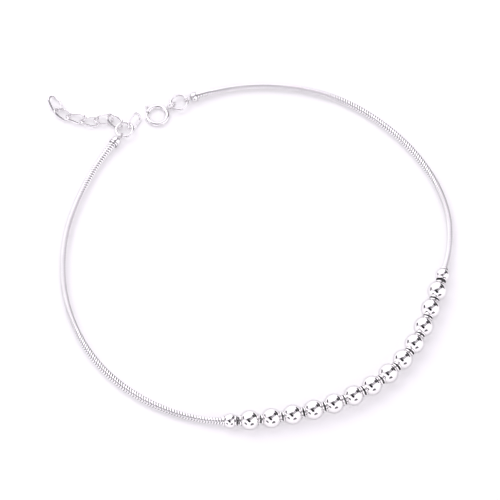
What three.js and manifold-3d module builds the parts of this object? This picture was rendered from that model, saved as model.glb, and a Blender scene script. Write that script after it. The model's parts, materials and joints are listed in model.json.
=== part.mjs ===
// Ankle bracelet: a snake chain through a row of beads, with a spring-ring clasp and an extender.
// Millimetres, +Z up. It lies open on the plane z = 0.

import * as THREE from 'three';
import { mergeVertices } from 'three/addons/utils/BufferGeometryUtils.js';
import Module from 'manifold-3d';

const wasm = await Module();
wasm.setup();

// ---- Driving dimensions ----

// Snake chain.
const CHAIN_RADIUS = 0.8;
const CHAIN_SIDES = 8;
const CHAIN_STEPS = 80;

// Beads. A half length runs from a bead's middle to the face of its collar.
const BEAD_COUNT = 13;
const BEAD_PITCH = 4.3;
const BEAD_RADIUS = 2;
const BEAD_HALF_LENGTH = 2.04;
const END_BEAD_PITCH = 3.9;
const END_BEAD_RADIUS = 1.5;
const END_BEAD_HALF_LENGTH = 1.4;
const BEAD_ARC_STEPS = 6;
const END_BEAD_ARC_STEPS = 4;
const COLLAR_RADIUS = 1.12;
const BEAD_HOLE_RADIUS = 0.98;
const BEAD_SIDES = 16;

// The loop seen from above, from the clasp's end the long way round to the extender's end:
// angle in degrees anticlockwise from +X, radius from the loop's middle.
const LOOP_STATIONS = [
  { angle: 110.4, radius: 38.55 },
  { angle: 95, radius: 38.95 },
  { angle: 80, radius: 39.3 },
  { angle: 65, radius: 39.7 },
  { angle: 50, radius: 39.7 },
  { angle: 35, radius: 39.95 },
  { angle: 20, radius: 40.2 },
  { angle: 10, radius: 40.05 },
  { angle: 0, radius: 39.3 },
  { angle: -10, radius: 38.25 },
  { angle: -20, radius: 37.8 },
  { angle: -30, radius: 38.25 },
  { angle: -40, radius: 38.75 },
  { angle: -50, radius: 38.85 },
  { angle: -60, radius: 38.65 },
  { angle: -70, radius: 38.35 },
  { angle: -80, radius: 38.35 },
  { angle: -90, radius: 38.8 },
  { angle: -105, radius: 39.75 },
  { angle: -120, radius: 40.55 },
  { angle: -140, radius: 41.05 },
  { angle: -160, radius: 40.55 },
  { angle: -180, radius: 39.55 },
  { angle: -200, radius: 38.65 },
  { angle: -221.2, radius: 39 },
];

// The middle bead sits this far along the chain from the clasp's end.
const MIDDLE_BEAD_DISTANCE = 112.6;
// The beads hold the chain's middle up at this height, and it climbs to them and to its caps
// over these lengths.
const ROW_HEIGHT = 2.03;
const ROW_CLIMB_LENGTH = 11;
const CAP_CLIMB_LENGTH = 5;

// End caps: a cup over the chain's end, with a loop soldered to its closed end.
const CAP_RADIUS = 1.03;
const CAP_BORE_RADIUS = 0.93;
const CAP_BORE_DEPTH = 1.2;
const CAP_LENGTH = 1.5;
const CAP_EDGE = 0.2;
const CAP_SIDES = 16;
const CAP_LOOP_RADIUS = 0.75;
const CAP_LOOP_WIRE_RADIUS = 0.2;
const CAP_LOOP_SIDES = 6;
const CHAIN_END_GAP = 0.12;

// Jump rings, measured to the middle of their wire.
const JUMP_RING_RADIUS = 1.75;
const JUMP_RING_WIRE_RADIUS = 0.3;
const RING_SIDES = 8;
const RING_STEPS = 24;
const SMALL_RING_STEPS = 20;

// Spring-ring clasp. Its angles run anticlockwise in its own plane from its eyelet.
const CLASP_RADIUS = 2.125;
const CLASP_TUBE_RADIUS = 0.475;
const CLASP_BORE_RADIUS = 0.31;
const CLASP_SIDES = 10;
const CLASP_STEPS = 32;
const STEP_ANGLE = 8;
const CLASP_MOUTH = { from: 128, to: 168 };
const CLASP_BORE = { from: 18, to: 180 };
const KNOB_SLOT = { from: 55, to: 111, width: 0.46 };
const EYELET_RADIUS = 0.95;
const EYELET_WIRE_RADIUS = 0.225;
const SOLDER_DEPTH = 0.1;
const TONGUE = { from: 66, to: 172, radius: 0.22 };
const KNOB = { angle: 105, stemRadius: 0.16, radius: 0.3, reach: 3.1 };

// Oval links, measured over their wire.
const LINK_LENGTH = 4.3;
const LINK_WIDTH = 2.6;
const LINK_WIRE_RADIUS = 0.25;
const LINK_SIDES = 6;
// How far an extender link's front end is turned against its back end, which makes it a curb link.
const LINK_TWIST = 90;

// How the findings lie. Headings are degrees anticlockwise from +X, roll turns a piece about its
// own length, pitch raises its front, and height is that of its middle. A link's x and y run from
// the middle of the left jump ring.
const CLASP_JUMP_RING = { heading: 200, play: 0.1, height: 0.95 };
const CLASP = { heading: 212.5, play: 0.15 };
const EXTENDER_JUMP_RING = { heading: 63, play: 0.12, height: 1.07, roll: -6, pitch: 3 };
const CLOSING_LINK = { x: 1.95, y: 1.9, height: 1.08, heading: 60, roll: 49, pitch: 0 };
const EXTENDER_LINKS = [
  { x: -1.93, y: 2.03, height: 0.95, heading: 138, roll: -20 },
  { x: -4.42, y: 2.59, height: 0.88, heading: 188, roll: -13 },
  { x: -7.3, y: 2.14, height: 0.81, heading: 178, roll: 0 },
  { x: -10.24, y: 2.98, height: 0.77, heading: 165, roll: 0 },
  { x: -13.04, y: 3.98, height: 0.84, heading: 147, roll: 0 },
  { x: -14.69, y: 6.46, height: 0.71, heading: 116, roll: 0 },
];

const silver = { color: 0xe9e9ec, metalness: 1, roughness: 0.12 };

// ---- Solids ----

function toManifold(geometry) {
  const plain = geometry.clone();
  plain.deleteAttribute('normal');
  plain.deleteAttribute('uv');
  const merged = mergeVertices(plain, 1e-5);
  return new wasm.Manifold(new wasm.Mesh({
    numProp: 3,
    vertProperties: new Float32Array(merged.attributes.position.array),
    triVerts: new Uint32Array(merged.index.array),
  }));
}

function fromManifold(solid) {
  const mesh = solid.getMesh();
  const geometry = new THREE.BufferGeometry();
  geometry.setAttribute('position', new THREE.BufferAttribute(mesh.vertProperties, 3));
  geometry.setIndex(new THREE.BufferAttribute(mesh.triVerts, 1));
  return geometry;
}

function regularPolygon(radius, sides) {
  const shape = new THREE.Shape();
  for (let i = 0; i < sides; i++) {
    const angle = ((i + 0.5) / sides) * 2 * Math.PI;
    const corner = [radius * Math.cos(angle), radius * Math.sin(angle)];
    if (i === 0) shape.moveTo(...corner);
    else shape.lineTo(...corner);
  }
  shape.closePath();
  return shape;
}

// A polygon whose area is that of the circle it stands for.
function roundSection(radius, sides) {
  const areaOfUnitPolygon = (sides / 2) * Math.sin((2 * Math.PI) / sides);
  return regularPolygon(radius * Math.sqrt(Math.PI / areaOfUnitPolygon), sides);
}

function wireAlong(curve, section, steps) {
  return new THREE.ExtrudeGeometry(section, { extrudePath: curve, steps, bevelEnabled: false });
}

// An arc about Z in the plane z = 0, angles in degrees.
class FlatArc extends THREE.Curve {
  constructor(radius, from, to) {
    super();
    Object.assign(this, { radius, from, to });
  }

  getPoint(t, target = new THREE.Vector3()) {
    const angle = THREE.MathUtils.degToRad(THREE.MathUtils.lerp(this.from, this.to, t));
    return target.set(this.radius * Math.cos(angle), this.radius * Math.sin(angle), 0);
  }
}

function arcWire(radius, { from, to }, wireRadius) {
  const steps = Math.ceil((to - from) / STEP_ANGLE);
  return wireAlong(new FlatArc(radius, from, to), roundSection(wireRadius, RING_SIDES), steps);
}

// A flat sector of a ring, its height centred on z = 0, angles in degrees.
function ringSector(innerRadius, outerRadius, { from, to }, height) {
  const start = THREE.MathUtils.degToRad(from);
  const end = THREE.MathUtils.degToRad(to);
  const shape = new THREE.Shape();
  shape.absarc(0, 0, outerRadius, start, end, false);
  shape.absarc(0, 0, innerRadius, end, start, true);
  const sector = new THREE.ExtrudeGeometry(shape, { depth: height, curveSegments: 12, bevelEnabled: false });
  return sector.translate(0, 0, -height / 2);
}

// ---- Chain ----

const CHAIN_CORNER_RADIUS = CHAIN_RADIUS * Math.sqrt(Math.PI / (4 * Math.sin(Math.PI / 4)));
const CHAIN_REST_HEIGHT = CHAIN_CORNER_RADIUS * Math.cos(Math.PI / CHAIN_SIDES);

function radiusAt(angle) {
  const rows = LOOP_STATIONS;
  let i = 0;
  while (i < rows.length - 2 && rows[i + 1].angle > angle) i++;
  const slope = (k) => {
    const before = rows[Math.max(k - 1, 0)];
    const after = rows[Math.min(k + 1, rows.length - 1)];
    return (after.radius - before.radius) / (after.angle - before.angle);
  };
  const span = rows[i + 1].angle - rows[i].angle;
  const t = (angle - rows[i].angle) / span;
  const fromFirst = 2 * t ** 3 - 3 * t ** 2 + 1;
  const slopeAtFirst = t ** 3 - 2 * t ** 2 + t;
  const slopeAtSecond = t ** 3 - t ** 2;
  return fromFirst * rows[i].radius + slopeAtFirst * span * slope(i)
    + (1 - fromFirst) * rows[i + 1].radius + slopeAtSecond * span * slope(i + 1);
}

// The loop's plan with no climb, for measuring lengths along it.
class LoopPlan extends THREE.Curve {
  constructor() {
    super();
    this.arcLengthDivisions = 2000;
  }

  getPoint(t, target = new THREE.Vector3()) {
    const last = LOOP_STATIONS[LOOP_STATIONS.length - 1].angle;
    const angle = THREE.MathUtils.lerp(LOOP_STATIONS[0].angle, last, t);
    const turn = THREE.MathUtils.degToRad(angle);
    const radius = radiusAt(angle);
    return target.set(radius * Math.cos(turn), radius * Math.sin(turn), 0);
  }
}

const plan = new LoopPlan();
const CHAIN_LENGTH = plan.getLength();
const HALF_ROW = ((BEAD_COUNT - 1) / 2) * BEAD_PITCH;

function chainHeight(distance) {
  const pastRow = Math.abs(distance - MIDDLE_BEAD_DISTANCE) - HALF_ROW;
  const fromEnd = Math.min(distance, CHAIN_LENGTH - distance);
  const rowShare = 1 - THREE.MathUtils.smoothstep(pastRow, 0, ROW_CLIMB_LENGTH);
  const capShare = 1 - THREE.MathUtils.smoothstep(fromEnd, CAP_BORE_DEPTH, CAP_CLIMB_LENGTH);
  return CHAIN_REST_HEIGHT + rowShare * (ROW_HEIGHT - CHAIN_REST_HEIGHT)
    + capShare * (CAP_RADIUS - CHAIN_REST_HEIGHT);
}

// The chain's middle line. Its parameter is the share of the plan's length.
class ChainRoute extends THREE.Curve {
  getPoint(t, target = new THREE.Vector3()) {
    plan.getPointAt(t, target);
    target.z = chainHeight(t * CHAIN_LENGTH);
    return target;
  }

  // Frames held upright, so that one side of the section faces straight down all the way.
  computeFrenetFrames(segments) {
    const frames = { tangents: [], normals: [], binormals: [] };
    for (let i = 0; i <= segments; i++) {
      const tangent = this.getTangentAt(i / segments);
      const binormal = tangent.clone().cross(new THREE.Vector3(0, 0, 1)).normalize();
      frames.tangents.push(tangent);
      frames.normals.push(binormal.clone().cross(tangent));
      frames.binormals.push(binormal);
    }
    return frames;
  }
}

const route = new ChainRoute();

function routePoint(distance) {
  return route.getPoint(distance / CHAIN_LENGTH);
}

function makeSnakeChain() {
  return wireAlong(route, roundSection(CHAIN_RADIUS, CHAIN_SIDES), CHAIN_STEPS);
}

// ---- Beads ----

// A ball on the Y axis with a collar at each hole and a bore right through.
function makeBead(radius, halfLength, arcSteps) {
  const collarAngle = Math.asin(COLLAR_RADIUS / radius);
  const outline = [
    [BEAD_HOLE_RADIUS, -halfLength],
    [COLLAR_RADIUS, -halfLength],
  ];
  for (let i = 0; i <= arcSteps; i++) {
    const angle = THREE.MathUtils.lerp(collarAngle, Math.PI - collarAngle, i / arcSteps);
    outline.push([radius * Math.sin(angle), -radius * Math.cos(angle)]);
  }
  outline.push([COLLAR_RADIUS, halfLength], [BEAD_HOLE_RADIUS, halfLength], outline[0]);
  return new THREE.LatheGeometry(outline.map(([r, y]) => new THREE.Vector2(r, y)), BEAD_SIDES);
}

// A bead hangs midway between the chord of the chain inside it and the chain's middle.
function placeBead(bead, distance, halfLength) {
  const before = routePoint(distance - halfLength);
  const after = routePoint(distance + halfLength);
  const chord = after.clone().add(before).multiplyScalar(0.5);
  bead.position.copy(chord).add(routePoint(distance)).multiplyScalar(0.5);
  bead.quaternion.setFromUnitVectors(new THREE.Vector3(0, 1, 0), after.sub(before).normalize());
}

// ---- Findings ----

const CAP_LOOP_REACH = CAP_LENGTH + CAP_LOOP_RADIUS + CAP_LOOP_WIRE_RADIUS - SOLDER_DEPTH;

// A cup on the Y axis, open at y = 0, with its loop in the XY plane.
function makeEndCap() {
  const outline = [
    [0, CAP_BORE_DEPTH],
    [CAP_BORE_RADIUS, CAP_BORE_DEPTH],
    [CAP_BORE_RADIUS, 0],
    [CAP_RADIUS, 0],
    [CAP_RADIUS, CAP_LENGTH - CAP_EDGE],
    [CAP_RADIUS - CAP_EDGE, CAP_LENGTH],
    [0, CAP_LENGTH],
  ];
  const cup = new THREE.LatheGeometry(outline.map(([r, y]) => new THREE.Vector2(r, y)), CAP_SIDES);
  const wire = [CAP_LOOP_WIRE_RADIUS, CAP_LOOP_SIDES];
  const loop = new THREE.TorusGeometry(CAP_LOOP_RADIUS, ...wire, SMALL_RING_STEPS);
  loop.translate(0, CAP_LOOP_REACH, 0);
  return fromManifold(toManifold(cup).add(toManifold(loop)));
}

// The eyelet stands on the floor beside the tube, so its middle is above the tube's.
const EYELET_RISE = EYELET_RADIUS + EYELET_WIRE_RADIUS - CLASP_TUBE_RADIUS;
const EYELET_TO_TUBE = EYELET_RADIUS + EYELET_WIRE_RADIUS + CLASP_TUBE_RADIUS - SOLDER_DEPTH;
const EYELET_REACH = CLASP_RADIUS + Math.sqrt(EYELET_TO_TUBE ** 2 - EYELET_RISE ** 2);

// The clasp's ring about Z, its eyelet standing on edge at +X.
function makeClaspRing() {
  const tube = new THREE.TorusGeometry(CLASP_RADIUS, CLASP_TUBE_RADIUS, CLASP_SIDES, CLASP_STEPS);
  const bore = arcWire(CLASP_RADIUS, CLASP_BORE, CLASP_BORE_RADIUS);
  const tubeHeight = 2 * CLASP_TUBE_RADIUS;
  const inside = CLASP_RADIUS - tubeHeight;
  const outside = CLASP_RADIUS + tubeHeight;
  const mouth = ringSector(inside, outside, CLASP_MOUTH, 2 * tubeHeight);
  const slot = ringSector(CLASP_RADIUS, outside, KNOB_SLOT, KNOB_SLOT.width);
  let ring = toManifold(tube);
  for (const cut of [bore, mouth, slot]) ring = ring.subtract(toManifold(cut));
  const eyelet = new THREE.TorusGeometry(EYELET_RADIUS, EYELET_WIRE_RADIUS, RING_SIDES, SMALL_RING_STEPS);
  eyelet.rotateX(Math.PI / 2).translate(EYELET_REACH, 0, EYELET_RISE);
  return fromManifold(ring.add(toManifold(eyelet)));
}

// The tongue that shuts the ring's mouth, with the knob that draws it back.
function makeClaspTrigger() {
  const tongue = arcWire(CLASP_RADIUS, TONGUE, TONGUE.radius);
  const stemLength = KNOB.reach - CLASP_RADIUS;
  const stem = new THREE.CylinderGeometry(KNOB.stemRadius, KNOB.stemRadius, stemLength, 8);
  stem.rotateZ(-Math.PI / 2).translate(CLASP_RADIUS + stemLength / 2, 0, 0);
  const knob = new THREE.SphereGeometry(KNOB.radius, 10, 6).translate(KNOB.reach, 0, 0);
  for (const lever of [stem, knob]) lever.rotateZ(THREE.MathUtils.degToRad(KNOB.angle));
  return fromManifold(toManifold(tongue).add(toManifold(stem)).add(toManifold(knob)));
}

function makeJumpRing() {
  return new THREE.TorusGeometry(JUMP_RING_RADIUS, JUMP_RING_WIRE_RADIUS, RING_SIDES, RING_STEPS);
}

const LENGTHWISE = new THREE.Vector3(1, 0, 0);

// A torus pulled apart into two half rings and two straight sides, its long axis on X, and
// twisted evenly about it.
function makeLink(twist) {
  const endRadius = LINK_WIDTH / 2 - LINK_WIRE_RADIUS;
  const halfStraight = (LINK_LENGTH - LINK_WIDTH) / 2;
  const link = new THREE.TorusGeometry(endRadius, LINK_WIRE_RADIUS, LINK_SIDES, RING_STEPS);
  const corners = link.attributes.position;
  for (let i = 0; i < corners.count; i++) {
    const x = corners.getX(i);
    if (Math.abs(x) > 0.01) corners.setX(i, x + Math.sign(x) * halfStraight);
    const turn = THREE.MathUtils.degToRad(twist) * corners.getX(i) / LINK_LENGTH;
    const corner = new THREE.Vector3().fromBufferAttribute(corners, i).applyAxisAngle(LENGTHWISE, turn);
    corners.setXYZ(i, ...corner);
  }
  return link;
}

// ---- Assembly ----

const bracelet = new THREE.Group();
bracelet.name = 'bracelet';

function addPiece(name, geometry) {
  const piece = new THREE.Mesh(geometry, new THREE.MeshStandardMaterial(silver));
  piece.name = name;
  bracelet.add(piece);
  return piece;
}

// The point this far from another, on a heading in degrees.
function ahead(point, heading, distance) {
  const turn = THREE.MathUtils.degToRad(heading);
  return point.clone().add(new THREE.Vector3(distance * Math.cos(turn), distance * Math.sin(turn), 0));
}

function layDown(piece, middle, { height, heading, roll = 0, pitch = 0 }) {
  const [turnX, turnY, turnZ] = [roll, -pitch, heading].map(THREE.MathUtils.degToRad);
  piece.rotation.set(turnX, turnY, turnZ, 'ZYX');
  piece.position.set(middle.x, middle.y, height);
}

// Slides a cap over a chain end with its loop upright, and gives back the middle of the loop.
function placeCap(cap, mouth, chainEnd) {
  const up = new THREE.Vector3(0, 0, 1);
  const outward = chainEnd.clone().sub(mouth).normalize();
  const across = new THREE.Vector3().crossVectors(up, outward);
  cap.quaternion.setFromRotationMatrix(new THREE.Matrix4().makeBasis(up, outward, across));
  cap.position.copy(mouth);
  return mouth.clone().addScaledVector(outward, CAP_LOOP_REACH);
}

addPiece('snake_chain', makeSnakeChain());

for (let i = 0; i < BEAD_COUNT; i++) {
  const name = `bead_${String(i + 1).padStart(2, '0')}`;
  const bead = addPiece(name, makeBead(BEAD_RADIUS, BEAD_HALF_LENGTH, BEAD_ARC_STEPS));
  placeBead(bead, MIDDLE_BEAD_DISTANCE - HALF_ROW + i * BEAD_PITCH, BEAD_HALF_LENGTH);
}
for (const [name, side] of [['end_bead_right', -1], ['end_bead_left', 1]]) {
  const bead = addPiece(name, makeBead(END_BEAD_RADIUS, END_BEAD_HALF_LENGTH, END_BEAD_ARC_STEPS));
  placeBead(bead, MIDDLE_BEAD_DISTANCE + side * (HALF_ROW + END_BEAD_PITCH), END_BEAD_HALF_LENGTH);
}

const capCover = CAP_BORE_DEPTH - CHAIN_END_GAP;
const rightCap = addPiece('end_cap_right', makeEndCap());
const rightLoop = placeCap(rightCap, routePoint(capCover), routePoint(0));
const leftCap = addPiece('end_cap_left', makeEndCap());
const leftLoop = placeCap(leftCap, routePoint(CHAIN_LENGTH - capCover), routePoint(CHAIN_LENGTH));

const toClaspRing = JUMP_RING_RADIUS + CLASP_JUMP_RING.play;
const claspRingMiddle = ahead(rightLoop, CLASP_JUMP_RING.heading, toClaspRing);
layDown(addPiece('jump_ring_right', makeJumpRing()), claspRingMiddle, CLASP_JUMP_RING);

const eyeletMiddle = ahead(claspRingMiddle, CLASP.heading, JUMP_RING_RADIUS + CLASP.play);
const claspMiddle = ahead(eyeletMiddle, CLASP.heading, EYELET_REACH);
const claspPose = { heading: CLASP.heading - 180, height: CLASP_TUBE_RADIUS };
layDown(addPiece('clasp_ring', makeClaspRing()), claspMiddle, claspPose);
layDown(addPiece('clasp_trigger', makeClaspTrigger()), claspMiddle, claspPose);

const toExtenderRing = JUMP_RING_RADIUS + EXTENDER_JUMP_RING.play;
const extenderRingMiddle = ahead(leftLoop, EXTENDER_JUMP_RING.heading, toExtenderRing);
layDown(addPiece('jump_ring_left', makeJumpRing()), extenderRingMiddle, EXTENDER_JUMP_RING);

function layLink(name, link, twist) {
  const middle = new THREE.Vector3(link.x, link.y, 0).add(extenderRingMiddle);
  layDown(addPiece(name, makeLink(twist)), middle, link);
}
layLink('closing_link', CLOSING_LINK, 0);
EXTENDER_LINKS.forEach((link, i) => layLink(`extender_link_${i + 1}`, link, LINK_TWIST));

// The origin is the middle of the bounding box's bottom.
const box = new THREE.Box3().setFromObject(bracelet, true);
const origin = box.getCenter(new THREE.Vector3()).setZ(box.min.z);
for (const piece of bracelet.children) piece.position.sub(origin);

export default bracelet;
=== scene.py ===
"""Ankle bracelet: a snake chain through a row of beads, with a spring ring and an extender."""

import bisect
import json
import math

import bmesh
import bpy
from mathutils import Matrix, Vector


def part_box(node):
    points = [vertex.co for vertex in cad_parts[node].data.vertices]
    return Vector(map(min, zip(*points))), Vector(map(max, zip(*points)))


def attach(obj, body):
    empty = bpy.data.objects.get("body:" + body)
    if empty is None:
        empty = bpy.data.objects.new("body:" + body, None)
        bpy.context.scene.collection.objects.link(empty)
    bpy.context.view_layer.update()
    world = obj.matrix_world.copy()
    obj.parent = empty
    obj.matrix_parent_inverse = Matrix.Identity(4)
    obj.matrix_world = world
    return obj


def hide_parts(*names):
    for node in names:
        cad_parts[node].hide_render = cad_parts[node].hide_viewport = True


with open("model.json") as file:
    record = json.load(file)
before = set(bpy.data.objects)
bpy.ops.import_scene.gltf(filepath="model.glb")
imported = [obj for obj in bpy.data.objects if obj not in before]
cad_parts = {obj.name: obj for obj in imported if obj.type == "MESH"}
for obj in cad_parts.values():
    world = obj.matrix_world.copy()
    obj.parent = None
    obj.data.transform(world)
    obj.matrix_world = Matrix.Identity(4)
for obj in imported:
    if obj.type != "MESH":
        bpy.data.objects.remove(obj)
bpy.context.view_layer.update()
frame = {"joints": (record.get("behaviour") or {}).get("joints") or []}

MM = 0.001
UP = Vector((0, 0, 1))
ORIGIN = Vector((0, 0, 0))


def new_object(name, data):
    made = bpy.data.objects.new(name, data)
    bpy.context.scene.collection.objects.link(made)
    return made


# ---- Camera ----

CAMERA_DISTANCE = 620 * MM
CAMERA_ELEVATION = math.radians(62)
VIEW_WIDTH = 102.5 * MM
VIEW_TARGET = Vector((0.34, 0.91, 0)) * MM

camera_data = bpy.data.cameras.new("camera")
camera_data.lens = camera_data.sensor_width * CAMERA_DISTANCE / VIEW_WIDTH
camera = new_object("camera", camera_data)
away = Vector((0, -math.cos(CAMERA_ELEVATION), math.sin(CAMERA_ELEVATION)))
camera.location = VIEW_TARGET + CAMERA_DISTANCE * away
camera.rotation_euler = (math.pi / 2 - CAMERA_ELEVATION, 0, 0)
bpy.context.scene.camera = camera


# ---- The chain's route, in millimetres ----

LOOP_MIDDLE = Vector((1.7871, 0.5073, 0))
# From the clasp's end: angle in degrees anticlockwise from +X, and radius from the loop's middle.
LOOP_STATIONS = [
    (110.4, 38.55), (95, 38.95), (80, 39.3), (65, 39.7), (50, 39.7), (35, 39.95), (20, 40.2),
    (10, 40.05), (0, 39.3), (-10, 38.25), (-20, 37.8), (-30, 38.25), (-40, 38.75), (-50, 38.85),
    (-60, 38.65), (-70, 38.35), (-80, 38.35), (-90, 38.8), (-105, 39.75), (-120, 40.55),
    (-140, 41.05), (-160, 40.55), (-180, 39.55), (-200, 38.65), (-221.2, 39),
]
PLAN_STEPS = 4000
HEADING_REACH = 0.3
# Heights of the chain's middle line: on the table, in the beads and in the end caps.
REST_HEIGHT = 0.779
ROW_HEIGHT = 2.03
CAP_HEIGHT = 1.03
ROW_CLIMB_LENGTH = 11
CAP_CLIMB_LENGTH = 5
CAP_BORE_DEPTH = 1.2
BEAD_COUNT = 13
BEAD_PITCH = 4.3
END_BEAD_PITCH = 3.9
HALF_ROW = (BEAD_COUNT - 1) / 2 * BEAD_PITCH
MIDDLE_BEAD_DISTANCE = 112.6


def smoothstep(value, low, high):
    t = min(max((value - low) / (high - low), 0), 1)
    return t * t * (3 - 2 * t)


def radius_at(angle):
    """The loop's radius at an angle, on a smooth curve through its stations."""
    rows = LOOP_STATIONS
    i = 0
    while i < len(rows) - 2 and rows[i + 1][0] > angle:
        i += 1

    def slope(k):
        before = rows[max(k - 1, 0)]
        after = rows[min(k + 1, len(rows) - 1)]
        return (after[1] - before[1]) / (after[0] - before[0])

    span = rows[i + 1][0] - rows[i][0]
    t = (angle - rows[i][0]) / span
    from_first = 2 * t ** 3 - 3 * t ** 2 + 1
    return (from_first * rows[i][1] + (1 - from_first) * rows[i + 1][1]
            + (t ** 3 - 2 * t ** 2 + t) * span * slope(i) + (t ** 3 - t ** 2) * span * slope(i + 1))


class Route:
    """The chain's middle line, by the distance along it from the clasp's end."""

    def __init__(self):
        first, last = LOOP_STATIONS[0][0], LOOP_STATIONS[-1][0]
        self.plan = []
        self.distances = [0]
        for i in range(PLAN_STEPS + 1):
            angle = first + (last - first) * i / PLAN_STEPS
            turn = math.radians(angle)
            outward = Vector((math.cos(turn), math.sin(turn), 0))
            self.plan.append(outward * radius_at(angle) + LOOP_MIDDLE)
            if i:
                self.distances.append(self.distances[-1] + (self.plan[i] - self.plan[i - 1]).length)
        self.length = self.distances[-1]

    def height(self, distance):
        past_row = abs(distance - MIDDLE_BEAD_DISTANCE) - HALF_ROW
        from_end = min(distance, self.length - distance)
        row = 1 - smoothstep(past_row, 0, ROW_CLIMB_LENGTH)
        cap = 1 - smoothstep(from_end, CAP_BORE_DEPTH, CAP_CLIMB_LENGTH)
        return REST_HEIGHT + row * (ROW_HEIGHT - REST_HEIGHT) + cap * (CAP_HEIGHT - REST_HEIGHT)

    def point(self, distance):
        i = min(max(bisect.bisect(self.distances, distance), 1), PLAN_STEPS)
        before, after = self.distances[i - 1], self.distances[i]
        spot = self.plan[i - 1].lerp(self.plan[i], (distance - before) / (after - before))
        return Vector((spot.x, spot.y, self.height(distance)))

    def heading(self, distance, reach=HEADING_REACH):
        return (self.point(distance + reach) - self.point(distance - reach)).normalized()


route = Route()


# ---- Shader maths ----

# A colour Mix node's sockets share their names with others, so they go by number.
MIX_FACTOR, MIX_FIRST, MIX_SECOND, MIX_RESULT = 0, 6, 7, 2
GRAIN_DETAIL = 2


class Shade:
    """An output socket among a tree's nodes. Arithmetic on it adds Math nodes."""

    def __init__(self, tree, socket=None):
        self.tree = tree
        self.socket = socket

    def node(self, kind, settings=None, inputs=None, output=0):
        made = self.tree.nodes.new(kind)
        for name, value in (settings or {}).items():
            setattr(made, name, value)
        for name, value in (inputs or {}).items():
            if isinstance(value, Shade):
                self.tree.links.new(value.socket, made.inputs[name])
            else:
                made.inputs[name].default_value = value
        return Shade(self.tree, made.outputs[output]) if made.outputs else made

    def maths(self, operation, *values):
        return self.node("ShaderNodeMath", {"operation": operation}, dict(enumerate(values)))

    def __add__(self, other):
        return self.maths("ADD", self, other)

    def __radd__(self, other):
        return self.maths("ADD", other, self)

    def __sub__(self, other):
        return self.maths("SUBTRACT", self, other)

    def __rsub__(self, other):
        return self.maths("SUBTRACT", other, self)

    def __mul__(self, other):
        return self.maths("MULTIPLY", self, other)

    def __rmul__(self, other):
        return self.maths("MULTIPLY", other, self)

    def between(self, low, high):
        """0 below low, 1 above high, and a smooth step from one to the other."""
        return self.node("ShaderNodeMapRange", {"interpolation_type": "SMOOTHSTEP"},
                         {"Value": self, "From Min": low, "From Max": high})

    def blend(self, first, second):
        """A mix of two colours, by this factor."""
        return self.node("ShaderNodeMix", {"data_type": "RGBA"},
                         {MIX_FACTOR: self, MIX_FIRST: first, MIX_SECOND: second}, MIX_RESULT)


def bare_shade(owner):
    """Clears a material's or world's nodes, to start its shader maths."""
    owner.use_nodes = True
    owner.node_tree.nodes.clear()
    return Shade(owner.node_tree)


def grain(shade, place, size):
    """Noise from 0 to 1 whose patches are about this many millimetres across."""
    return shade.node("ShaderNodeTexNoise", inputs={
        "Vector": place, "Scale": 1 / (size * MM), "Detail": GRAIN_DETAIL})


# Near black for the darkened hollows: partly real tarnish, partly painted shade.
TARNISH_AND_SHADE_BLACK = (0.05, 0.047, 0.047, 1)
# Widths and depths in millimetres. The polishing hairlines run mostly along Y.
HAIRLINE_WIDTH = 0.05
HAIRLINE_STRETCH = (1, 0.08, 0.3)
HAIRLINE_DEPTH = 0.002
HAIRLINE_BUMP = 0.12
CLOUD_WIDTH = 3
CLOUD_HAZE = 0.03
CLOUD_DULLNESS = 0.02
# How the painted shade and tarnish in the hollows vary with the cloud, and how much duller they
# make the surface.
SHADE_AND_TARNISH_CLOUDING = 0.3
SHADE_AND_TARNISH_DULLNESS = 0.22


def polished_silver(name, face_on, edge_on, gloss, scuff):
    """Silver whose hollows, marked by the piece's tarnish_and_shade attribute, are darker and
    duller: the darkening is partly real tarnish and partly painted shade.
    """
    material = bpy.data.materials.new(name)
    shade = bare_shade(material)
    place = shade.node("ShaderNodeTexCoord", output="Object")
    hollow = shade.node("ShaderNodeAttribute", {"attribute_name": "tarnish_and_shade"}, output="Fac")
    stretched = shade.node("ShaderNodeMapping", inputs={"Vector": place, "Scale": HAIRLINE_STRETCH})
    hairlines = grain(shade, stretched, HAIRLINE_WIDTH).between(0.5, 0.72)
    cloud = grain(shade, place, CLOUD_WIDTH).between(0.35, 0.7)
    # Painted shade and tarnish in the hollows, varied by the cloud, with a little random cloudy
    # tone.
    shade_and_tarnish = hollow * (1 - SHADE_AND_TARNISH_CLOUDING + SHADE_AND_TARNISH_CLOUDING * cloud) + CLOUD_HAZE * cloud
    rough = gloss + CLOUD_DULLNESS * cloud + scuff * hairlines + SHADE_AND_TARNISH_DULLNESS * hollow
    bump = shade.node("ShaderNodeBump", inputs={
        "Height": hairlines, "Strength": HAIRLINE_BUMP, "Distance": HAIRLINE_DEPTH * MM})
    surface = shade.node("ShaderNodeBsdfPrincipled", inputs={
        "Base Color": shade_and_tarnish.blend(face_on, TARNISH_AND_SHADE_BLACK), "Roughness": rough, "Metallic": 1.0,
        "Specular Tint": edge_on, "Normal": bump})
    shade.node("ShaderNodeOutputMaterial", inputs={"Surface": surface})
    return material


bead_silver = polished_silver("bead_silver", face_on=(0.95, 0.94, 0.93, 1),
                              edge_on=(0.5, 0.5, 0.52, 1), gloss=0.04, scuff=0.05)
chain_silver = polished_silver("chain_silver", face_on=(0.97, 0.965, 0.96, 1),
                               edge_on=(0.85, 0.85, 0.87, 1), gloss=0.03, scuff=0.03)
wire_silver = polished_silver("wire_silver", face_on=(0.88, 0.87, 0.87, 1),
                              edge_on=(0.45, 0.45, 0.47, 1), gloss=0.07, scuff=0.06)


# ---- Shapes, in millimetres ----

CREASE_ANGLE = math.radians(50)
MERGE_DISTANCE = 0.0001


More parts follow.
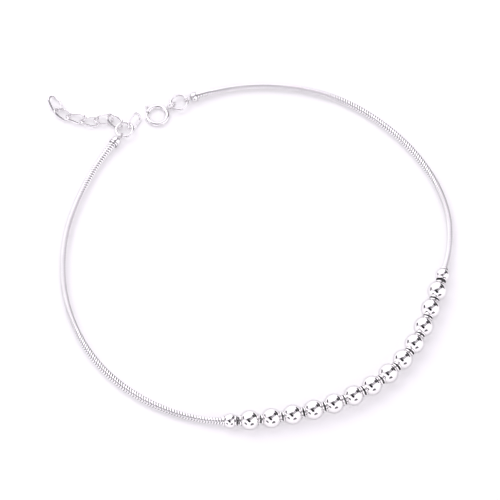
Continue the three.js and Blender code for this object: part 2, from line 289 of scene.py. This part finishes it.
def add_piece(name, shape, material, nodes, place=Matrix(), body="bracelet",
              crease=CREASE_ANGLE):
    """Turns a finished shape into a piece that stands for CAD nodes."""
    bmesh.ops.recalc_face_normals(shape, faces=shape.faces[:])
    mesh = bpy.data.meshes.new(name)
    shape.to_mesh(mesh)
    shape.free()
    mesh.transform(Matrix.Scale(MM, 4) @ place)
    mesh.materials.append(material)
    mesh.shade_smooth()
    mesh.set_sharp_from_angle(angle=crease)
    piece = new_object(name, mesh)
    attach(piece, body)
    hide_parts(*nodes)


def add_finding(name, shape, node, place, body="bracelet"):
    """A piece of wire work, such as a ring or link, that stands for one CAD node."""
    add_piece(name, shape, wire_silver, [node], place, body)


def about(axis, degrees):
    return Matrix.Rotation(math.radians(degrees), 4, axis)


def along_axis(heading, middle):
    """The placing that stands Z along a heading, with X as near straight up as it goes."""
    across = heading.cross(UP).normalized()
    axes = Matrix((across.cross(heading), across, heading)).transposed()
    return Matrix.Translation(middle) @ axes.to_4x4()


def laid(middle, heading, roll=0, pitch=0):
    """The placing of a finding that lies flat before its roll and pitch, in degrees."""
    turn = about("Z", heading) @ about("Y", -pitch) @ about("X", roll)
    return Matrix.Translation(middle) @ turn


def node_middle(node):
    low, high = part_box(node)
    return (low + high) / 2 / MM


def put(shape, place):
    """Moves a whole shape by a placing."""
    bmesh.ops.transform(shape, matrix=place, verts=shape.verts[:])


def join(shape, addition):
    """Adds a second shape to the first, and frees the second."""
    mesh = bpy.data.meshes.new("addition")
    addition.to_mesh(mesh)
    addition.free()
    shape.from_mesh(mesh)
    bpy.data.meshes.remove(mesh)


def turned(profile, steps, closed=True):
    """A profile of (radius, height, darkening) spun about Z. The darkening is painted shade in
    hollows, partly real tarnish, and is kept as a mesh attribute.
    """
    shape = bmesh.new()
    tarnish_and_shade = shape.verts.layers.float.new("tarnish_and_shade")
    corners = []
    for radius, height, shade_and_tarnish in profile:
        corner = shape.verts.new((radius, 0, height))
        corner[tarnish_and_shade] = shade_and_tarnish
        corners.append(corner)
    edges = [shape.edges.new(pair) for pair in zip(corners, corners[1:])]
    if closed:
        edges.append(shape.edges.new((corners[-1], corners[0])))
    bmesh.ops.spin(shape, geom=corners + edges, cent=ORIGIN, axis=UP, angle=2 * math.pi,
                   steps=steps, use_merge=True)
    if not closed:
        bmesh.ops.remove_doubles(shape, verts=shape.verts[:], dist=MERGE_DISTANCE)
        bmesh.ops.dissolve_degenerate(shape, edges=shape.edges[:], dist=MERGE_DISTANCE)
    return shape


def face_among(parts):
    return next(part for part in parts if isinstance(part, bmesh.types.BMFace))


class Wire:
    """Round wire drawn from a cut end, by turns about Z and straight runs along X."""

    def __init__(self, radius, sides, start):
        self.shape = bmesh.new()
        upright = Matrix.Translation(start) @ about("X", 90)
        ring = bmesh.ops.create_circle(self.shape, cap_ends=True, radius=radius, segments=sides,
                                       matrix=upright)
        self.end = ring["verts"][0].link_faces[0]

    def turn(self, middle, degrees, steps):
        cut = [self.end, *self.end.edges, *self.end.verts]
        spun = bmesh.ops.spin(self.shape, geom=cut, cent=middle, axis=UP,
                              angle=math.radians(degrees), steps=steps)
        self.end = face_among(spun["geom_last"])

    def run(self, length, pieces):
        for _ in range(pieces):
            before = self.end
            drawn = bmesh.ops.extrude_face_region(self.shape, geom=[before])["geom"]
            self.end = face_among(drawn)
            bmesh.ops.translate(self.shape, verts=self.end.verts[:],
                                vec=Vector((length, 0, 0)) / pieces)
            bmesh.ops.delete(self.shape, geom=[before], context="FACES_ONLY")


def bent_wire(wire_radius, sides, bend_radius, degrees, steps):
    """Wire bent round Z, from +X through an angle."""
    wire = Wire(wire_radius, sides, (bend_radius, 0, 0))
    wire.turn(ORIGIN, degrees, steps)
    return wire.shape


# ---- Snake chain ----

RIB_RADIUS = 0.775
RIB_PITCH = 0.571
RIB_SIDES = 10
RIB_WAVE = 0.28
RIB_CREASE_ANGLE = math.radians(100)
# One ring's radius, place along the chain, and darkening: painted shade in the grooves between
# rings, partly real tarnish.
RIB_PROFILE = [
    (0.6, -0.2, 1), (0.72, -0.24, 0.2), (0.769, -0.18, 0), (RIB_RADIUS, 0, 0),
    (0.769, 0.18, 0), (0.72, 0.24, 0.2), (0.6, 0.2, 1),
]


def rib(shade_and_tarnish):
    """One wavy ring of the chain, bent forward and back by turns at each quarter."""
    # Every corner is darkened at least this much; rings inside the beads get painted shade all
    # over.
    profile = [(radius, place, max(hollow, shade_and_tarnish)) for radius, place, hollow in RIB_PROFILE]
    ring = turned(profile, RIB_SIDES)
    for corner in ring.verts:
        around = math.atan2(corner.co.y, corner.co.x)
        corner.co.z += RIB_WAVE * math.sin(2 * around)
    mesh = bpy.data.meshes.new("rib")
    ring.to_mesh(mesh)
    ring.free()
    return mesh


def snake_chain():
    """The rings along the route, the ones under the beads darkened all over with painted shade."""
    chain = bmesh.new()
    # A clean ring, and one with painted shade all over for inside the beads.
    clean, shaded_rib = rib(0), rib(1)
    count = int((route.length - RIB_PITCH) / RIB_PITCH)
    margin = (route.length - (count - 1) * RIB_PITCH) / 2
    for i in range(count):
        distance = margin + i * RIB_PITCH
        under_beads = abs(distance - MIDDLE_BEAD_DISTANCE) < HALF_ROW + END_BEAD_PITCH
        placed = (shaded_rib if under_beads else clean).copy()
        placed.transform(along_axis(route.heading(distance), route.point(distance)))
        chain.from_mesh(placed)
        bpy.data.meshes.remove(placed)
    bpy.data.meshes.remove(clean)
    bpy.data.meshes.remove(shaded_rib)
    return chain


add_piece("ribbed_chain", snake_chain(), chain_silver, ["snake_chain"],
          crease=RIB_CREASE_ANGLE)


# ---- Beads ----

BEAD_STEPS = 48
HOLE_RADIUS = 0.97
COLLAR_RADIUS = 1.12
NECK_RADIUS = COLLAR_RADIUS - 0.06
ROOT_RADIUS = COLLAR_RADIUS + 0.01
# How far past the ball's edge the groove round the neck starts and ends, and the collar starts.
NECK_START, NECK_END, COLLAR_START = 0.03, 0.08, 0.13
LIP = 0.07
LIP_BEVEL = 0.3 * LIP
# Where the hole's wall ends inside, as a share of the half length.
HOLE_END = 0.3
# Ball radius, half length over the collars, and steps from one collar to the other.
ROUND_BEAD = (2, 2.01, 22)
END_BEAD = (1.5, 1.4, 16)
# How far to each side of its middle a bead follows the chain.
ROUND_BEAD_REACH = 2.04
END_BEAD_REACH = 1.4


def bead(radius, half_length, arc_steps):
    """A hollow ball's outside, with a lipped collar at each hole."""
    shoulder = math.asin(ROOT_RADIUS / radius)
    root = radius * math.cos(shoulder)
    # The third values darken the hole, its lip and the groove round the neck: painted shade, partly
    # real tarnish.
    half = [
        (HOLE_RADIUS, HOLE_END * half_length, 1),
        (HOLE_RADIUS, half_length - LIP, 0.8),
        (HOLE_RADIUS + LIP_BEVEL, half_length - LIP_BEVEL, 0.8),
        (HOLE_RADIUS + LIP, half_length, 0.6),
        (COLLAR_RADIUS - LIP_BEVEL, half_length - LIP_BEVEL, 0),
        (COLLAR_RADIUS, half_length - LIP, 0),
        (COLLAR_RADIUS, root + COLLAR_START, 0),
        (NECK_RADIUS, root + NECK_END, 0.4),
        (NECK_RADIUS, root + NECK_START, 0.4),
        (ROOT_RADIUS, root, 0),
    ]
    lower = [(r, -y, shade_and_tarnish) for r, y, shade_and_tarnish in half]
    ball = []
    for i in range(1, arc_steps):
        angle = shoulder + (math.pi - 2 * shoulder) * i / arc_steps
        ball.append((radius * math.sin(angle), -radius * math.cos(angle), 0))
    return turned(lower + ball + half[::-1], BEAD_STEPS)


def thread(node, distance, reach, shape):
    """Strings a bead on the chain at a distance along it."""
    add_piece("polished_" + node, shape, bead_silver, [node],
              along_axis(route.heading(distance, reach), node_middle(node)))


row_start = MIDDLE_BEAD_DISTANCE - HALF_ROW
row_end = MIDDLE_BEAD_DISTANCE + HALF_ROW
for number in range(BEAD_COUNT):
    thread(f"bead_{number + 1:02d}", row_start + number * BEAD_PITCH, ROUND_BEAD_REACH,
           bead(*ROUND_BEAD))
thread("end_bead_right", row_start - END_BEAD_PITCH, END_BEAD_REACH, bead(*END_BEAD))
thread("end_bead_left", row_end + END_BEAD_PITCH, END_BEAD_REACH, bead(*END_BEAD))


# ---- End caps ----

CAP_STEPS = 40
# How deep the chain's end stands in the cap.
CAP_COVER = CAP_BORE_DEPTH - 0.12
CAP_LOOP_RADIUS = 0.75
CAP_LOOP_WIRE = 0.2
CAP_LOOP_REACH = 2.35
LOOP_WIRE_SIDES = 14
# How far round the wire of a soldered loop goes, in degrees.
LOOP_TURN = 359
# The cup from the floor of its bore, out over its rim to its closed end. The third values darken
# the bore, the rim, the crimp groove and the closed end: painted shade, partly real tarnish.
CAP_PROFILE = [
    (0, 1.2, 1), (0.9, 1.2, 1), (0.93, 0.06, 0.8), (0.96, 0, 0.2), (1.02, 0.02, 0), (1.03, 0.08, 0),
    (1.03, 0.3, 0), (0.98, 0.36, 0.7), (0.98, 0.42, 0.7), (1.03, 0.48, 0), (1.03, 1.2, 0),
    (0.98, 1.36, 0), (0.86, 1.46, 0), (0.5, 1.5, 0), (0.25, 1.53, 0.3), (0, 1.53, 0.3),
]


def end_cap():
    """A cup over the chain's end, on Z and open at zero, with its wire loop in the XZ plane."""
    cap = turned(CAP_PROFILE, CAP_STEPS, closed=False)
    loop = bent_wire(CAP_LOOP_WIRE, LOOP_WIRE_SIDES, CAP_LOOP_RADIUS, LOOP_TURN, steps=44)
    put(loop, Matrix.Translation((0, 0, CAP_LOOP_REACH)) @ about("X", 90) @ about("Z", -90))
    join(cap, loop)
    return cap


for side, mouth, end in [("right", CAP_COVER, 0),
                         ("left", route.length - CAP_COVER, route.length)]:
    outward = (route.point(end) - route.point(mouth)).normalized()
    add_finding("crimped_cap_" + side, end_cap(), "end_cap_" + side,
                along_axis(outward, route.point(mouth)))


# ---- Jump rings, closing link and extender ----

JUMP_RING_RADIUS = 1.75
JUMP_RING_WIRE = 0.3
LINK_LENGTH = 4.3
LINK_HALF_RUN = 0.85
LINK_END_RADIUS = 1.05
LINK_WIRE = 0.25
LINK_END_STEPS = 22
LINK_SIDE_PIECES = 6
WIRE_SIDES = 16
# The gap where a ring or link is closed.
CUT = 0.04


def jump_ring(cut_at):
    """A ring of round wire, with its cut this many degrees round."""
    ring = bent_wire(JUMP_RING_WIRE, WIRE_SIDES, JUMP_RING_RADIUS,
                     360 - math.degrees(CUT / JUMP_RING_RADIUS), steps=60)
    put(ring, about("Z", cut_at))
    return ring


def oval_link(twist):
    """A link of round wire along X, cut in the middle of one side, and twisted about X."""
    link = Wire(LINK_WIRE, LOOP_WIRE_SIDES, ORIGIN)
    put(link.shape, Matrix.Translation((CUT / 2, -LINK_END_RADIUS, 0)) @ about("Z", 90))
    link.run(LINK_HALF_RUN - CUT / 2, LINK_SIDE_PIECES // 2)
    link.turn((LINK_HALF_RUN, 0, 0), 180, LINK_END_STEPS)
    link.run(-2 * LINK_HALF_RUN, LINK_SIDE_PIECES)
    link.turn((-LINK_HALF_RUN, 0, 0), 180, LINK_END_STEPS)
    link.run(LINK_HALF_RUN - CUT / 2, LINK_SIDE_PIECES // 2)
    for corner in link.shape.verts:
        corner.co = about("X", twist * corner.co.x / LINK_LENGTH) @ corner.co
    return link.shape


# Heading anticlockwise from +X, roll about its own length, pitch up at its front, and the place of
# the cut round the ring, in degrees.
JUMP_RING_POSES = {"jump_ring_right": (200, 0, 0, 150), "jump_ring_left": (63, -6, 3, 250)}
# Place from the middle of the left jump ring, height of the link's middle over the table, heading,
# roll, and how far the front end is twisted against the back end.
LINK_POSES = {
    "closing_link": (1.95, 1.9, 1.08, 60, 49, 0),
    "extender_link_1": (-1.93, 2.03, 0.95, 138, -20, 90),
    "extender_link_2": (-4.42, 2.59, 0.88, 188, -13, 90),
    "extender_link_3": (-7.3, 2.14, 0.81, 178, 0, 90),
    "extender_link_4": (-10.24, 2.98, 0.77, 165, 0, 90),
    "extender_link_5": (-13.04, 3.98, 0.84, 147, 0, 90),
    "extender_link_6": (-14.69, 6.46, 0.71, 116, 0, 90),
}
for node, (heading, roll, pitch, cut_at) in JUMP_RING_POSES.items():
    add_finding("round_" + node, jump_ring(cut_at), node,
                laid(node_middle(node), heading, roll, pitch))
extender_start = node_middle("jump_ring_left")
for node, (x, y, height, heading, roll, twist) in LINK_POSES.items():
    middle = Vector((extender_start.x + x, extender_start.y + y, height))
    add_finding("wire_" + node, oval_link(twist), node, laid(middle, heading, roll))


# ---- Spring ring clasp ----

CLASP_RADIUS = 2.125
CLASP_TUBE = 0.475
CLASP_TUBE_SIDES = 24
CLASP_WALL = 0.15
CLASP_HEADING = 32.5
# Where the mouth, the knob's slot, the tongue and the knob lie round the ring, in degrees.
MOUTH = (128, 168)
KNOB_SLOT = (55, 111)
TONGUE = (66, 172)
KNOB_ANGLE = 105
KNOB_SLOT_HALF_WIDTH = 0.21
EYELET_RADIUS = 0.95
EYELET_WIRE = 0.225
EYELET_REACH = 3.487
TONGUE_RADIUS = 0.22
KNOB_STEPS = 20
# The knob from the tongue's middle, out along its stem to its rounded head.
KNOB_PROFILE = [
    (0, 0, 0), (0.16, 0, 0.5), (0.15, 0.5, 0.5), (0.17, 0.7, 0.3), (0.27, 0.78, 0),
    (0.31, 0.95, 0), (0.27, 1.14, 0), (0.14, 1.25, 0), (0, 1.27, 0),
]
hinge = next(joint for joint in frame["joints"] if joint["name"] == "trigger_pull")
clasp_place = laid(Vector(hinge["pos_m"]) / MM, CLASP_HEADING)


def clasp_ring():
    """A hollow tube bent round from one side of its mouth to the other, slotted for the knob."""
    shell = bmesh.new()
    start = Matrix.Translation((CLASP_RADIUS, 0, 0)) @ about("X", 90)
    bmesh.ops.create_circle(shell, radius=CLASP_TUBE, segments=CLASP_TUBE_SIDES,
                            matrix=start @ about("Z", 180 / CLASP_TUBE_SIDES))
    put(shell, about("Z", MOUTH[1]))
    bmesh.ops.spin(shell, geom=shell.verts[:] + shell.edges[:], cent=ORIGIN, axis=UP,
                   angle=math.radians(360 + MOUTH[0] - MOUTH[1]), steps=80)
    bmesh.ops.recalc_face_normals(shell, faces=shell.faces[:])
    slot = []
    for face in shell.faces:
        middle = face.calc_center_median()
        around = math.degrees(math.atan2(middle.y, middle.x))
        outside = math.hypot(middle.x, middle.y) > CLASP_RADIUS
        level = abs(middle.z) < KNOB_SLOT_HALF_WIDTH
        if outside and level and KNOB_SLOT[0] < around < KNOB_SLOT[1]:
            slot.append(face)
    bmesh.ops.delete(shell, geom=slot, context="FACES")
    bmesh.ops.solidify(shell, geom=shell.faces[:], thickness=CLASP_WALL)
    eyelet = bent_wire(EYELET_WIRE, LOOP_WIRE_SIDES, EYELET_RADIUS, LOOP_TURN, steps=40)
    rise = EYELET_RADIUS + EYELET_WIRE - CLASP_TUBE
    put(eyelet, Matrix.Translation((EYELET_REACH, 0, rise)) @ about("X", 90) @ about("Z", 180))
    join(shell, eyelet)
    return shell


def clasp_trigger():
    """The tongue across the ring's mouth, with the little knob that draws it back."""
    trigger = bent_wire(TONGUE_RADIUS, WIRE_SIDES, CLASP_RADIUS, TONGUE[1] - TONGUE[0], steps=36)
    put(trigger, about("Z", TONGUE[0]))
    knob = turned(KNOB_PROFILE, KNOB_STEPS, closed=False)
    angle = math.radians(KNOB_ANGLE)
    outward = Vector((math.cos(angle), math.sin(angle), 0))
    put(knob, along_axis(outward, CLASP_RADIUS * outward))
    join(trigger, knob)
    return trigger


add_finding("tube_clasp", clasp_ring(), "clasp_ring", clasp_place)
add_finding("sprung_trigger", clasp_trigger(), "clasp_trigger", clasp_place, "trigger")


# ---- Studio, in metres ----

TABLE_HALF_WIDTH = 1.5
TABLE_WHITES = (0.925, 0.925, 0.925, 1), (0.935, 0.935, 0.935, 1)
TABLE_CLOUD_WIDTH = 40  # in millimetres, as grain takes it
TABLE_GLOW = 0.18
WALL_WHITE = (0.968, 0.922, 1.0, 1)
WALL_GAP_BLACK = (0.006, 0.006, 0.007, 1)
WALL_STRENGTH = 1.42
# The low gaps end between these heights, as the sine of the angle over the horizon.
LOW_GAP_TOP = (0.31, 0.44)
STRIPE_END_BLUR = 0.1


def studio_floor():
    """A white table that glows a little, so that shadows on it stay pale."""
    sheet = bmesh.new()
    bmesh.ops.create_grid(sheet, x_segments=1, y_segments=1, size=TABLE_HALF_WIDTH)
    mesh = bpy.data.meshes.new("white_table")
    sheet.to_mesh(mesh)
    sheet.free()
    material = bpy.data.materials.new("white_table")
    shade = bare_shade(material)
    place = shade.node("ShaderNodeTexCoord", output="Object")
    surface = shade.node("ShaderNodeBsdfPrincipled", inputs={
        "Base Color": grain(shade, place, TABLE_CLOUD_WIDTH).blend(*TABLE_WHITES),
        "Roughness": 0.9, "Specular IOR Level": 0.1,
        "Emission Color": (1, 0.98, 1, 1), "Emission Strength": TABLE_GLOW})
    shade.node("ShaderNodeOutputMaterial", inputs={"Surface": surface})
    mesh.materials.append(material)
    table = new_object("white_table", mesh)


def studio_walls():
    """White panels round the table. The dark gaps between them meet near the camera."""
    world = bpy.data.worlds.new("studio")
    bpy.context.scene.world = world
    shade = bare_shade(world)
    sight = shade.node("ShaderNodeTexCoord")

    def along(direction):
        return shade.node("ShaderNodeVectorMath", {"operation": "DOT_PRODUCT"},
                          {0: sight, 1: Vector(direction).normalized()}, "Value")

    def patch(direction, full, none):
        """1 within one angle of a direction, in degrees, and 0 beyond the other."""
        return along(direction).between(math.cos(math.radians(none)), math.cos(math.radians(full)))

    def gap(start, end, full, none):
        """A stripe from one direction on past another, as wide to each side as a patch."""
        start, end = Vector(start).normalized(), Vector(end).normalized()
        aside = shade.maths("ABSOLUTE", along(start.cross(end)))
        ahead = along(end - start * start.dot(end)).between(-STRIPE_END_BLUR, STRIPE_END_BLUR)
        edges = math.sin(math.radians(full)), math.sin(math.radians(none))
        return ahead * (1 - aside.between(*edges))

    low = 1 - along(UP).between(*LOW_GAP_TOP)
    # How dark each gap is, and where it lies.
    gaps = [
        (0.98, patch((-0.38, -0.30, 0.87), 8, 15)),
        (0.98, patch((-0.16, -0.56, 0.81), 10, 17)),
        (0.96, patch((-0.03, -0.64, 0.77), 8, 16)),
        (0.78, patch((-0.12, -0.17, 0.98), 9, 18)),
        (0.62, gap((0, -0.34, 0.94), (0.72, 0.64, 0.27), 11, 18)),
        (0.5, patch((-0.52, -0.22, 0.82), 7, 14)),
        (0.93, patch((0.62, 0.47, 0.63), 11, 19)),
        (0.35, gap((-0.16, -0.56, 0.81), (-0.95, 0.27, 0.1), 6, 13)),
        (0.99, low * patch((0.74, 0.67, 0.05), 22, 30)),
        (0.98, low * patch((-0.96, 0.29, 0.05), 13, 20)),
        (0.9, patch((-0.69, -0.72, 0.05), 13, 22)),
        (0.9, patch((0.41, -0.89, 0.12), 14, 23)),
    ]
    open_wall = 1
    for darkness, where in gaps:
        open_wall = open_wall * (1 - darkness * where)
    colour = open_wall.blend(WALL_GAP_BLACK, WALL_WHITE)
    glow = shade.node("ShaderNodeBackground", inputs={"Color": colour, "Strength": WALL_STRENGTH})
    shade.node("ShaderNodeOutputWorld", inputs={"Surface": glow})


def soft_light(name, place, size, power, colour):
    """A square of light that faces the middle of the table."""
    light = bpy.data.lights.new(name, "AREA")
    light.shape = "RECTANGLE"
    light.size, light.size_y = size
    light.energy = power
    light.color = colour
    lamp = new_object(name, light)
    lamp.location = place
    lamp.rotation_euler = (-Vector(place)).to_track_quat("-Z", "Y").to_euler()


studio_floor()
studio_walls()
soft_light("upper_left", place=(-0.5, 0.45, 0.7), size=(0.5, 0.5), power=1.0,
           colour=(1, 0.985, 0.96))
bpy.context.scene.view_settings.view_transform = "Standard"

bpy.context.view_layer.update()
